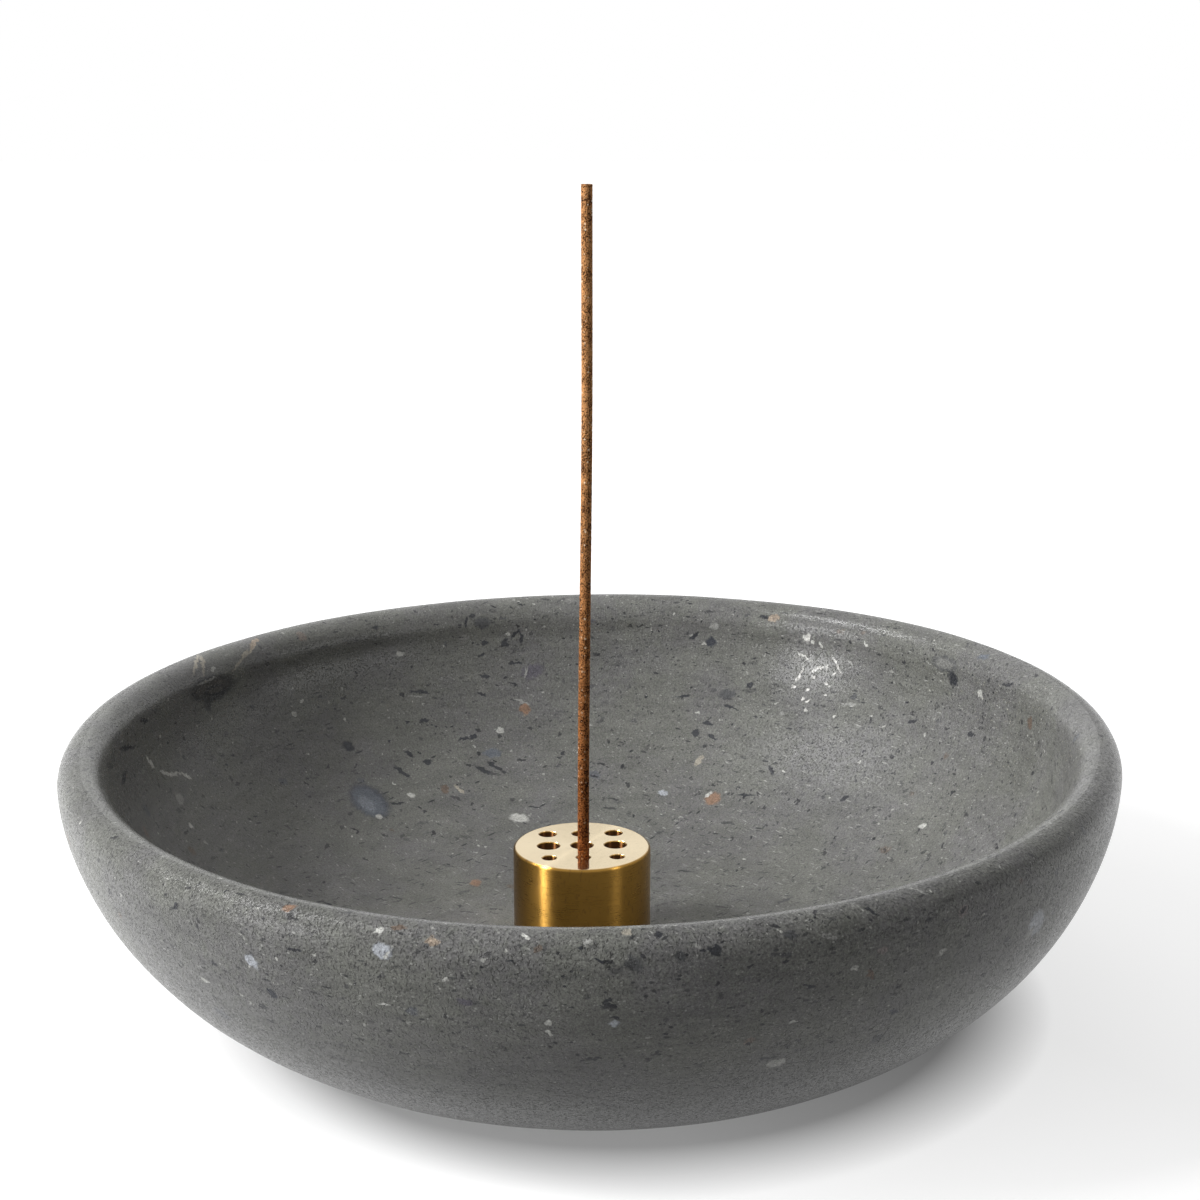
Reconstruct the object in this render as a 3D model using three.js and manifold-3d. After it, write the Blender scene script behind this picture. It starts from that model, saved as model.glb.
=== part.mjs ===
// Stone incense bowl with a loose brass stick holder and one incense stick.
// Millimetres, +Z up. The origin is the middle of the bowl's flat base.
import * as THREE from 'three';
import { mergeVertices } from 'three/addons/utils/BufferGeometryUtils.js';
import Module from 'manifold-3d';

const wasm = await Module();
wasm.setup();

// Stone bowl
const bowlRadius = 77.5;
const rimCentreHeight = 37.4;
const rimCrown = 3.3;
const rimOuterRound = 3.3;
// the inner round is the larger one: it begins this far below the widest ring
const rimInnerDrop = 1.7;
const rimThickness = 7;
const floorThickness = 6;
const baseFlatRadius = 27;
// how far the wall keeps the base's direction, and the rim's, before it turns
const baseSweep = 39.3;
const rimDrop = 11.3;

// The outline is worked by hand: it leaves the circle by these amounts at the rim
const ovalBulge = 2.3;
const ovalSkew = 0.55;
const lobeBulge = 0.78;
// one side of the rim stands higher than the middle by this much, and the lift dies out downwards
const rimLift = 1.3;
const liftFade = 1.5;

// Brass holder, standing loose on the bowl's floor
const holderRadius = 10;
const holderHeight = 16;
const holderEdgeRound = 0.4;
const holderOffCentreX = -0.9;
const holderOffCentreY = -2.2;
const holderTurnDegrees = 2;

// Three rows of three blind holes, one drill size for each row
const holeSpacing = 4.87;
const holeDepth = 10;
const holeMouthChamfer = 0.15;
const frontHoleDiameter = 2;
const middleHoleDiameter = 3.2;
const backHoleDiameter = 2.5;

// Incense stick, standing in the middle hole of the front row
const stickHoleClearance = 0.125;
const stickLength = 104.7;
const stickBend = 0.62;
// heights above the holder's top between which the stick leans over
const bendStart = 4;
const bendEnd = 72;

// How finely round shapes are divided
const bowlSegments = 80;
const wallSteps = 15;
const rimSteps = 5;
const holderSegments = 48;
const edgeSteps = 2;
const holeSegments = 16;
const stickSides = 16;
const stickSteps = 36;
const mergeDistance = 1e-4;

const bowlMaterial = new THREE.MeshStandardMaterial({ color: 0x5a5c58, roughness: 0.5, metalness: 0 });
const brassMaterial = new THREE.MeshStandardMaterial({ color: 0xc79a4b, roughness: 0.25, metalness: 1 });
const stickMaterial = new THREE.MeshStandardMaterial({ color: 0x7a4a28, roughness: 0.9, metalness: 0 });

// A profile of (radius, height) points turned about the vertical axis
function turned(profile, segments) {
  const geometry = new THREE.LatheGeometry(profile, segments);
  geometry.rotateX(Math.PI / 2);
  return geometry;
}

function toSolid(geometry) {
  const bare = geometry.clone();
  bare.deleteAttribute('normal');
  bare.deleteAttribute('uv');
  const merged = mergeVertices(bare, mergeDistance);
  const index = Array.from(merged.index.array);
  const triVerts = [];
  for (let i = 0; i < index.length; i += 3) {
    const [a, b, c] = index.slice(i, i + 3);
    if (a !== b && b !== c && c !== a) triVerts.push(a, b, c);
  }
  return new wasm.Manifold(new wasm.Mesh({
    numProp: 3,
    vertProperties: new Float32Array(merged.attributes.position.array),
    triVerts: new Uint32Array(triVerts),
  }));
}

function toGeometry(solid) {
  const mesh = solid.getMesh();
  const geometry = new THREE.BufferGeometry();
  geometry.setAttribute('position', new THREE.BufferAttribute(new Float32Array(mesh.vertProperties), 3));
  geometry.setIndex(new THREE.BufferAttribute(new Uint32Array(mesh.triVerts), 1));
  geometry.computeVertexNormals();
  return geometry;
}

function named(name, geometry, material) {
  const mesh = new THREE.Mesh(geometry, material);
  mesh.name = name;
  return mesh;
}

// The bowl's outer wall, from the edge of the flat base up to the widest ring
const outerWall = new THREE.CubicBezierCurve(
  new THREE.Vector2(baseFlatRadius, 0),
  new THREE.Vector2(baseFlatRadius + baseSweep, 0),
  new THREE.Vector2(bowlRadius, rimCentreHeight - rimDrop),
  new THREE.Vector2(bowlRadius, rimCentreHeight),
);

// A point of the inner wall lies square to the outer wall, one wall thickness in
function innerWallPoint(t) {
  const point = outerWall.getPoint(t);
  const along = outerWall.getTangent(t);
  const thickness = THREE.MathUtils.lerp(floorThickness, rimThickness, t);
  return new THREE.Vector2(point.x - along.y * thickness, point.y + along.x * thickness);
}

// A quarter of an ellipse, without its first point
function quarterRound(centre, width, height, fromAngle, steps) {
  const points = [];
  for (let i = 1; i <= steps; i++) {
    const angle = fromAngle + (Math.PI / 2) * (i / steps);
    points.push(new THREE.Vector2(centre.x + width * Math.cos(angle), centre.y + height * Math.sin(angle)));
  }
  return points;
}

function bowlProfile() {
  // the wall's curve climbs at three times its handle where it ends
  const innerEnd = 1 - rimInnerDrop / (3 * rimDrop);
  const innerTop = innerWallPoint(innerEnd);
  const crest = new THREE.Vector2(bowlRadius - rimOuterRound, rimCentreHeight + rimCrown);
  const outerCentre = new THREE.Vector2(crest.x, rimCentreHeight);
  const innerCentre = new THREE.Vector2(crest.x, innerTop.y);
  const profile = [new THREE.Vector2(0, 0)];
  for (let i = 0; i <= wallSteps; i++) profile.push(outerWall.getPoint(i / wallSteps));
  profile.push(...quarterRound(outerCentre, rimOuterRound, rimCrown, 0, rimSteps));
  const innerWidth = crest.x - innerTop.x;
  const innerHeight = crest.y - innerTop.y;
  profile.push(...quarterRound(innerCentre, innerWidth, innerHeight, Math.PI / 2, rimSteps));
  for (let i = wallSteps - 1; i >= 0; i--) profile.push(innerWallPoint((innerEnd * i) / wallSteps));
  profile.push(new THREE.Vector2(0, floorThickness));
  return profile;
}

// The hand-worked form: an outline that is not quite round, and a rim that is not quite level.
// The base and the floor stay flat.
function handWork(geometry) {
  const position = geometry.attributes.position;
  const liftedHeight = rimCentreHeight + rimCrown - floorThickness;
  for (let i = 0; i < position.count; i++) {
    const x = position.getX(i);
    const y = position.getY(i);
    const z = position.getZ(i);
    const around = Math.atan2(y, x);
    const bulge = -ovalBulge * Math.cos(2 * around) - ovalSkew * Math.sin(2 * around)
      + lobeBulge * Math.sin(3 * around);
    const stretch = 1 + bulge / bowlRadius;
    const rise = Math.max(0, z - floorThickness) / liftedHeight;
    const lift = rimLift * (x / bowlRadius) * rise ** liftFade;
    position.setXYZ(i, x * stretch, y * stretch, z + lift);
  }
  geometry.computeVertexNormals();
  return geometry;
}

function makeBowl() {
  return named('bowl', handWork(turned(bowlProfile(), bowlSegments)), bowlMaterial);
}

function holderBody() {
  const round = holderEdgeRound;
  const lowCentre = new THREE.Vector2(holderRadius - round, round);
  const highCentre = new THREE.Vector2(holderRadius - round, holderHeight - round);
  return turned([
    new THREE.Vector2(0, 0),
    new THREE.Vector2(holderRadius - round, 0),
    ...quarterRound(lowCentre, round, round, -Math.PI / 2, edgeSteps),
    new THREE.Vector2(holderRadius, holderHeight - round),
    ...quarterRound(highCentre, round, round, 0, edgeSteps),
    new THREE.Vector2(0, holderHeight),
  ], holderSegments);
}

// What a drill and a countersink take away, from just above the top face to the flat bottom
function holeCut(diameter) {
  const radius = diameter / 2;
  const aboveTop = holderHeight + holeMouthChamfer;
  return turned([
    new THREE.Vector2(0, holderHeight - holeDepth),
    new THREE.Vector2(radius, holderHeight - holeDepth),
    new THREE.Vector2(radius, holderHeight - holeMouthChamfer),
    new THREE.Vector2(radius + 2 * holeMouthChamfer, aboveTop),
    new THREE.Vector2(0, aboveTop),
  ], holeSegments);
}

const holeRows = [
  { y: -holeSpacing, diameter: frontHoleDiameter },
  { y: 0, diameter: middleHoleDiameter },
  { y: holeSpacing, diameter: backHoleDiameter },
];

function makeHolder() {
  let solid = toSolid(holderBody());
  for (const row of holeRows) {
    for (const column of [-1, 0, 1]) {
      const cut = holeCut(row.diameter);
      cut.translate(column * holeSpacing, row.y, 0);
      solid = solid.subtract(toSolid(cut));
    }
  }
  return named('stick_holder', toGeometry(solid), brassMaterial);
}

// The stick's middle line: straight in its hole, then leaning gently to one side
class StickLine extends THREE.Curve {
  getPoint(t, target = new THREE.Vector3()) {
    const height = t * stickLength;
    const lean = THREE.MathUtils.smoothstep(height - holeDepth, bendStart, bendEnd);
    return target.set(stickBend * lean, 0, height);
  }
}

function makeStick() {
  const radius = frontHoleDiameter / 2 - stickHoleClearance;
  const section = new THREE.Shape();
  section.absarc(0, 0, radius, 0, 2 * Math.PI, false);
  const geometry = new THREE.ExtrudeGeometry(section, {
    extrudePath: new StickLine(),
    steps: stickSteps,
    curveSegments: stickSides / 2,
    bevelEnabled: false,
  });
  return named('incense_stick', toGeometry(toSolid(geometry)), stickMaterial);
}

const stick = makeStick();
stick.position.set(0, -holeSpacing, holderHeight - holeDepth);

const holderGroup = new THREE.Group();
holderGroup.add(makeHolder(), stick);
holderGroup.position.set(holderOffCentreX, holderOffCentreY, floorThickness);
holderGroup.rotation.z = THREE.MathUtils.degToRad(holderTurnDegrees);

const group = new THREE.Group();
group.add(makeBowl(), holderGroup);

export default group;
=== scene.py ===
# Dark stone incense bowl with a loose brass stick holder and one incense stick.
# Everything is in metres, Z up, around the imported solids.
import math
import bpy
import bmesh
from mathutils import Matrix, Vector
from mathutils.kdtree import KDTree


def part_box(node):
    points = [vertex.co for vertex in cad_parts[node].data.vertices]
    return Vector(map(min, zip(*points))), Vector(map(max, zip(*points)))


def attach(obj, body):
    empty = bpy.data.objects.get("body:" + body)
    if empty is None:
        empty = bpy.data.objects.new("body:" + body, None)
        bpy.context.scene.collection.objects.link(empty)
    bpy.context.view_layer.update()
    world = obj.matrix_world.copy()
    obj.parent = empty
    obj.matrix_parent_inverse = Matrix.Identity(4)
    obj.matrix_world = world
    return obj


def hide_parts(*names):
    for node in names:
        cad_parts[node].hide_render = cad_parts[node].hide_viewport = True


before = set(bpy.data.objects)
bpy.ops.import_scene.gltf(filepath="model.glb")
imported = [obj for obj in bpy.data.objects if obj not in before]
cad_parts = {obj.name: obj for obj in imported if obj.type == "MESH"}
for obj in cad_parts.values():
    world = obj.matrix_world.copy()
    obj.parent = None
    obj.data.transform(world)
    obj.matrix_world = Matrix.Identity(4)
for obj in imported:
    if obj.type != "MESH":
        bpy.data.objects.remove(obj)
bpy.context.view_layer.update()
print("frame loaded:", ", ".join(sorted(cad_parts)))

mm = 0.001
hair = 0.001 * mm  # places closer than this are one
levelNormal = 0.9  # a face lies level where its normal stands steeper than this
white = (1, 1, 1, 1)


# Small helpers

def selectNothing():
    bpy.ops.object.select_all(action="DESELECT")


def selectPiece(piece):
    selectNothing()
    piece.select_set(True)
    bpy.context.view_layer.objects.active = piece


def nameNewPiece(name):
    piece = bpy.context.active_object
    piece.name = name
    piece.data.name = name
    return piece


def selectOnly(piece, kind, isWanted):  # edit mode: leaves only the wanted edges or faces selected
    bpy.ops.mesh.select_mode(type=kind)
    bpy.ops.mesh.select_all(action="DESELECT")
    mesh = bmesh.from_edit_mesh(piece.data)
    for part in mesh.edges if kind == "EDGE" else mesh.faces:
        part.select_set(isWanted(part))
    bmesh.update_edit_mesh(piece.data)


def selectRing(piece, isWanted):  # edit mode: the edges whose two ends are both in a wanted place
    selectOnly(piece, "EDGE", lambda edge: all(isWanted(vert.co) for vert in edge.verts))


def tidyMesh():  # edit mode
    bpy.ops.mesh.select_all(action="SELECT")
    bpy.ops.mesh.remove_doubles(threshold=hair)
    bpy.ops.mesh.normals_make_consistent(inside=False)


def placeInMesh(piece):  # the object ends at the origin, its place in its mesh
    selectPiece(piece)
    bpy.ops.object.transform_apply(location=True, rotation=True, scale=True)


def finishWith(piece, kind, **settings):  # gives the active piece a modifier and applies it
    bpy.ops.object.modifier_add(type=kind)
    modifier = piece.modifiers[-1]
    for name, value in settings.items():
        setattr(modifier, name, value)
    bpy.ops.object.modifier_apply(modifier=modifier.name)


def roughen(piece, name, size, octaves, depth, groupName=""):  # sinks the surface here and there
    clouds = bpy.data.textures.new(name, "CLOUDS")
    clouds.noise_scale = size
    clouds.noise_depth = octaves
    finishWith(piece, "DISPLACE", texture=clouds, vertex_group=groupName, mid_level=0, strength=-depth)


def directionOf(around, up):  # round from the back towards the right, and up
    return Vector((math.sin(around) * math.cos(up), math.cos(around) * math.cos(up), math.sin(up)))


def fitInside(piece, node):  # a hair smaller than the solid's box where it would stand proud of it
    low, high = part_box(node)
    places = [vertex.co for vertex in piece.data.vertices]
    for axis in range(3):
        least = min(place[axis] for place in places)
        most = max(place[axis] for place in places)
        newLeast = max(least, low[axis])
        newMost = min(most, high[axis])
        ratio = (newMost - newLeast) / (most - least)
        for place in places:
            place[axis] = newLeast + (place[axis] - least) * ratio
    piece.data.update()


# Camera

cameraSetup = {
    "place": (-2.264 * mm, -282.947 * mm, 127.773 * mm),
    "lookDown": math.radians(13.808),
    "turnRight": math.radians(0.814),
    "lens": 61.3,
    "sensor": 36,
    "clipStart": 0.01,
    "frameSize": 1200,  # the pixels across the picture, which the pixel places below are read in
}


def addCamera(setup):
    selectNothing()
    bpy.ops.object.camera_add(location=setup["place"])
    camera = bpy.context.active_object
    camera.name = "camera"
    forward = directionOf(setup["turnRight"], -setup["lookDown"])
    camera.rotation_euler = forward.to_track_quat("-Z", "Y").to_euler()
    camera.data.lens = setup["lens"]
    camera.data.sensor_width = setup["sensor"]
    camera.data.clip_start = setup["clipStart"]
    bpy.context.scene.camera = camera
    bpy.context.view_layer.update()
    return camera


camera = addCamera(cameraSetup)
print("camera placed")


# Stone bowl

bowlShape = {
    "radius": 77.5 * mm,
    "rimHeight": 37.4 * mm,  # where the wall is widest
    "rimCrown": 3.3 * mm,
    "rimOuterRound": 3.3 * mm,
    "rimInnerDrop": 1.7 * mm,
    "rimThickness": 7 * mm,
    "floorThickness": 6 * mm,
    "baseRadius": 27 * mm,
    "baseSweep": 39.3 * mm,
    "rimDrop": 11.3 * mm,
    "oval": 2.3 * mm,
    "skew": 0.55 * mm,
    "lobe": 0.78 * mm,
    "lift": 1.3 * mm,
    "liftFade": 1.5,
    "segments": 160,
    "wallRings": 26,
    "rimRings": 7,
    "flatRings": 5,
    "waviness": 0.16 * mm,  # depth of the hand-ground unevenness
    "waveSize": 17 * mm,
}


def outerWallPoint(shape, t):  # radius and height on the outer wall's curve, and its direction
    curve = (
        Vector((shape["baseRadius"], 0)),
        Vector((shape["baseRadius"] + shape["baseSweep"], 0)),
        Vector((shape["radius"], shape["rimHeight"] - shape["rimDrop"])),
        Vector((shape["radius"], shape["rimHeight"])),
    )
    s = 1 - t
    point = s**3 * curve[0] + 3 * s * s * t * curve[1] + 3 * s * t * t * curve[2] + t**3 * curve[3]
    along = s * s * (curve[1] - curve[0]) + 2 * s * t * (curve[2] - curve[1]) + t * t * (curve[3] - curve[2])
    return point, along.normalized()


def innerWallPoint(shape, t):  # one wall thickness in, square to the outer wall
    point, along = outerWallPoint(shape, t)
    thickness = shape["floorThickness"] + (shape["rimThickness"] - shape["floorThickness"]) * t
    return point + thickness * Vector((-along.y, along.x))


def quarterRound(centre, width, height, fromAngle, rings):
    points = []
    for i in range(1, rings + 1):
        angle = fromAngle + math.pi / 2 * i / rings
        points.append(centre + Vector((width * math.cos(angle), height * math.sin(angle))))
    return points


def bowlProfile(shape):  # radius and height of each ring, from under the base over the rim to the floor
    flat = shape["flatRings"]
    innerEnd = 1 - shape["rimInnerDrop"] / (3 * shape["rimDrop"])
    innerTop = innerWallPoint(shape, innerEnd)
    crest = Vector((shape["radius"] - shape["rimOuterRound"], shape["rimHeight"] + shape["rimCrown"]))
    profile = [Vector((shape["baseRadius"] * i / flat, 0)) for i in range(1, flat)]
    profile += [outerWallPoint(shape, i / shape["wallRings"])[0] for i in range(shape["wallRings"] + 1)]
    profile += quarterRound(Vector((crest.x, shape["rimHeight"])), shape["rimOuterRound"], shape["rimCrown"],
                            0, shape["rimRings"])
    profile += quarterRound(Vector((crest.x, innerTop.y)), crest.x - innerTop.x, crest.y - innerTop.y,
                            math.pi / 2, shape["rimRings"])
    for i in reversed(range(shape["wallRings"])):
        profile.append(innerWallPoint(shape, innerEnd * i / shape["wallRings"]))
    for i in reversed(range(1, flat)):
        profile.append(Vector((shape["baseRadius"] * i / flat, shape["floorThickness"])))
    return profile


def workByHand(bowl, shape):  # an outline that is not quite round and a rim that is not quite level
    liftedHeight = shape["rimHeight"] + shape["rimCrown"] - shape["floorThickness"]
    for vertex in bowl.data.vertices:
        x, y, z = vertex.co
        around = math.atan2(y, x)
        bulge = (-shape["oval"] * math.cos(2 * around) - shape["skew"] * math.sin(2 * around)
                 + shape["lobe"] * math.sin(3 * around))
        stretch = 1 + bulge / shape["radius"]
        rise = max(0, z - shape["floorThickness"]) / liftedHeight
        lifted = z + shape["lift"] * x / shape["radius"] * rise ** shape["liftFade"]
        vertex.co = (x * stretch, y * stretch, lifted)


def grindUnevenly(bowl, shape):  # shallow waves, none under the base or where the holder stands
    worked = bowl.vertex_groups.new(name="worked")
    for vertex in bowl.data.vertices:
        outwards = math.hypot(vertex.co.x, vertex.co.y) / shape["baseRadius"] - 1
        worked.add([vertex.index], min(1, max(0, 2 * outwards)), "REPLACE")
    roughen(bowl, "grindingWaves", shape["waveSize"], 1, shape["waviness"], worked.name)


def makeBowl(shape):
    profile = bowlProfile(shape)
    selectNothing()
    bpy.ops.mesh.primitive_circle_add(vertices=shape["segments"], radius=profile[0].x, fill_type="TRIFAN")
    bowl = nameNewPiece("stone_bowl")
    bpy.ops.object.mode_set(mode="EDIT")
    selectRing(bowl, lambda place: math.hypot(place.x, place.y) > profile[0].x / 2)
    for here, there in zip(profile, profile[1:]):
        bpy.ops.mesh.extrude_edges_indiv()
        bpy.ops.transform.translate(value=(0, 0, there.y - here.y))
        ratio = there.x / here.x
        bpy.ops.transform.resize(value=(ratio, ratio, 1), center_override=(0, 0, there.y))
    bpy.ops.mesh.extrude_edges_indiv()
    bpy.ops.mesh.merge(type="CENTER")
    tidyMesh()
    bpy.ops.object.mode_set(mode="OBJECT")
    workByHand(bowl, shape)
    finishWith(bowl, "SUBSURF", levels=1, render_levels=1)
    grindUnevenly(bowl, shape)
    bpy.ops.object.shade_smooth()
    fitInside(bowl, "bowl")
    return bowl


bowl = makeBowl(bowlShape)
print("bowl modelled:", len(bowl.data.polygons), "faces")


# Brass holder

holderShape = {
    "turn": math.radians(2),
    "edgeRound": 0.5 * mm,
    "edgeSteps": 5,
    "endLevel": 0.999,  # only the two flat ends have normals steeper than this
    "endBorder": 0.06 * mm,  # a narrow ring of faces that keeps the shading of the ends flat
    "holeSpacing": 4.87 * mm,
    "holeDepth": 10 * mm,
    "rowDiameters": (2 * mm, 3.2 * mm, 2.5 * mm),  # front, middle and back row
    "mouthWidth": 0.15 * mm,
    "segments": 144,
    "holeSegments": 48,
    "sharpAngle": math.radians(30),
}


def makeDrill(place, radius, depth, mouth, segments):  # cuts one hole and its countersink
    selectNothing()
    bpy.ops.mesh.primitive_cylinder_add(vertices=segments, radius=radius, depth=depth - mouth,
                                        location=place - Vector((0, 0, (depth + mouth) / 2)))
    drill = nameNewPiece("drill")
    bpy.ops.object.mode_set(mode="EDIT")
    selectOnly(drill, "FACE", lambda face: face.normal.z > levelNormal)
    bpy.ops.mesh.extrude_region_move(TRANSFORM_OT_translate={"value": (0, 0, 2 * mouth)})
    ratio = (radius + 2 * mouth) / radius
    bpy.ops.transform.resize(value=(ratio, ratio, 1), center_override=place)
    bpy.ops.object.mode_set(mode="OBJECT")
    return drill


def makeHolder(shape):
    low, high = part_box("stick_holder")
    centre = (low + high) / 2
    radius = min(high.x - low.x, high.y - low.y) / 2
    selectNothing()
    bpy.ops.mesh.primitive_cylinder_add(vertices=shape["segments"], radius=radius, depth=high.z - low.z,
                                        location=centre)
    holder = nameNewPiece("brass_holder")
    bpy.ops.object.mode_set(mode="EDIT")
    half = (high.z - low.z) / 2
    for side in (-1, 1):
        selectRing(holder, lambda place: abs(place.z - side * half) < hair)
        bpy.ops.mesh.bevel(offset=shape["edgeRound"], segments=shape["edgeSteps"], affect="EDGES")
    selectOnly(holder, "FACE", lambda face: abs(face.normal.z) > shape["endLevel"])
    bpy.ops.mesh.inset(thickness=shape["endBorder"], use_individual=True)
    bpy.ops.object.mode_set(mode="OBJECT")
    drills = []
    top = Vector((centre.x, centre.y, high.z))
    cosTurn, sinTurn = math.cos(shape["turn"]), math.sin(shape["turn"])
    for row, diameter in zip((-1, 0, 1), shape["rowDiameters"]):
        for column in (-1, 0, 1):
            x, y = column * shape["holeSpacing"], row * shape["holeSpacing"]
            place = top + Vector((x * cosTurn - y * sinTurn, x * sinTurn + y * cosTurn, 0))
            drills.append(makeDrill(place, diameter / 2, shape["holeDepth"], shape["mouthWidth"],
                                    shape["holeSegments"]))
    for drill in drills:
        drill.select_set(True)
    bpy.context.view_layer.objects.active = drills[0]
    bpy.ops.object.join()
    drillSet = bpy.context.active_object
    selectPiece(holder)
    finishWith(holder, "BOOLEAN", operation="DIFFERENCE", solver="EXACT", object=drillSet)
    bpy.data.objects.remove(drillSet)
    placeInMesh(holder)
    bpy.ops.object.shade_smooth_by_angle(angle=shape["sharpAngle"])
    fitInside(holder, "stick_holder")
    return holder


holder = makeHolder(holderShape)
print("holder modelled:", len(holder.data.polygons), "faces")


# Incense stick

stickShape = {
    "radius": 0.8 * mm,
    "footRadius": 0.87 * mm,  # it is a little thicker low down
    "taperEnd": 60 * mm,
    "bend": 0.62 * mm,
    "bendStart": 14 * mm,  # heights above the stick's own foot
    "bendEnd": 82 * mm,
    "sides": 28,
    "ringCuts": (20, 19),
    "uprightRise": 0.01 * mm,  # an edge that rises more than this runs along the stick
    "endRings": (0.12 * mm, 0.25 * mm),
    "grainDepth": 0.055 * mm,
    "grainSize": 0.28 * mm,
    "sharpAngle": math.radians(40),
}


def makeStick(shape):
    low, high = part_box("incense_stick")
    length = high.z - low.z
    foot = Vector((low.x + (high.y - low.y) / 2, (low.y + high.y) / 2, low.z))
    selectNothing()
    bpy.ops.mesh.primitive_cylinder_add(vertices=shape["sides"], radius=shape["radius"], depth=length,
                                        location=foot + Vector((0, 0, length / 2)))
    stick = nameNewPiece("granular_stick")
    placeInMesh(stick)
    bpy.ops.object.mode_set(mode="EDIT")
    for cuts in shape["ringCuts"]:
        selectOnly(stick, "EDGE",
                   lambda edge: abs(edge.verts[0].co.z - edge.verts[1].co.z) > shape["uprightRise"])
        bpy.ops.mesh.subdivide(number_cuts=cuts)
    selectOnly(stick, "FACE", lambda face: abs(face.normal.z) > levelNormal)
    for width in shape["endRings"]:
        bpy.ops.mesh.inset(thickness=width, use_individual=True)
    bpy.ops.object.mode_set(mode="OBJECT")
    for vertex in stick.data.vertices:
        height = vertex.co.z - foot.z
        thicker = (shape["footRadius"] / shape["radius"] - 1) * max(0, 1 - height / shape["taperEnd"])
        vertex.co.x += (vertex.co.x - foot.x) * thicker
        vertex.co.y += (vertex.co.y - foot.y) * thicker
        t = min(1, max(0, (height - shape["bendStart"]) / (shape["bendEnd"] - shape["bendStart"])))
        vertex.co.x += shape["bend"] * t * t * (3 - 2 * t)
    roughen(stick, "pastedGrain", shape["grainSize"], 2, shape["grainDepth"])
    bpy.ops.object.shade_smooth_by_angle(angle=shape["sharpAngle"])
    fitInside(stick, "incense_stick")
    return stick


stick = makeStick(stickShape)
print("stick modelled:", len(stick.data.polygons), "faces")


# Floor

floorSetup = {
    "size": 8,
    "sunk": 0.03 * mm,
}


def makeFloor(setup):
    selectNothing()
    bpy.ops.mesh.primitive_plane_add(size=setup["size"], location=(0, 0, -setup["sunk"]))
    return nameNewPiece("floor")


floor = makeFloor(floorSetup)


# Node helpers

def fill(tree, node, inputs):  # a value goes on its socket, a node's output is linked
    for name, value in inputs.items():
        if isinstance(value, bpy.types.NodeSocket):
            tree.links.new(value, node.inputs[name])
        else:
            node.inputs[name].default_value = value


def addNode(tree, kind, inputs=None, **settings):
    node = tree.nodes.new("ShaderNode" + kind)
    for name, value in settings.items():
        setattr(node, name, value)
    fill(tree, node, inputs or {})
    return node


def newMaterial(name):  # with its shader and the place in the piece, which every pattern reads
    material = bpy.data.materials.new(name)
    material.use_nodes = True
    tree = material.node_tree
    return material, tree, tree.nodes["Principled BSDF"], addNode(tree, "TexCoord").outputs["Object"]


def newGroup(name, takes, gives):
    tree = bpy.data.node_groups.new(name, "ShaderNodeTree")
    for way, sockets in (("INPUT", takes), ("OUTPUT", gives)):
        for socketName, kind in sockets.items():
            tree.interface.new_socket(socketName, in_out=way, socket_type="NodeSocket" + kind)
    return tree, tree.nodes.new("NodeGroupInput").outputs, tree.nodes.new("NodeGroupOutput").inputs


def dress(piece, material):
    piece.data.materials.clear()
    piece.data.materials.append(material)


def noise(tree, vector, size, detail, roughness=0.5):
    return addNode(tree, "TexNoise", {"Vector": vector, "Scale": 1 / size, "Detail": detail,
                                      "Roughness": roughness}).outputs["Fac"]


def spread(tree, value, fromLow, fromHigh, toLow=0, toHigh=1, kind="LINEAR"):
    return addNode(tree, "MapRange", {"Value": value, "From Min": fromLow, "From Max": fromHigh,
                                      "To Min": toLow, "To Max": toHigh}, interpolation_type=kind).outputs[0]


def maths(tree, operation, *values):
    return addNode(tree, "Math", dict(enumerate(values)), operation=operation).outputs[0]


def vectorMaths(tree, operation, *values):  # a length and a dot product are plain values
    node = addNode(tree, "VectorMath", dict(enumerate(values)), operation=operation)
    return node.outputs["Value" if operation in ("LENGTH", "DOT_PRODUCT") else "Vector"]


def mixColours(tree, amount, first, second, blend="MIX"):
    mixed = addNode(tree, "Mix", {0: amount, 6: first, 7: second}, data_type="RGBA", blend_type=blend)
    return mixed.outputs[2]


def stretched(tree, vector, factors):
    return vectorMaths(tree, "MULTIPLY", vector, factors)


def bumped(tree, relief):  # a normal from a relief in millimetres
    return addNode(tree, "Bump", {"Height": relief, "Strength": 1, "Distance": 1 * mm}).outputs[0]


usualNoise = (0.3, 0.7)  # a noise seldom leaves this range
grainRadii = (0.14, 0.42)  # the smallest and the largest grain, in cells
grainCore = 0.6  # the share of its radius out to which a grain is solid
markFade = (0.75, 1.15, 0.9, 0)  # a mark fades between two shares of its size, from one strength to the other


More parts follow.
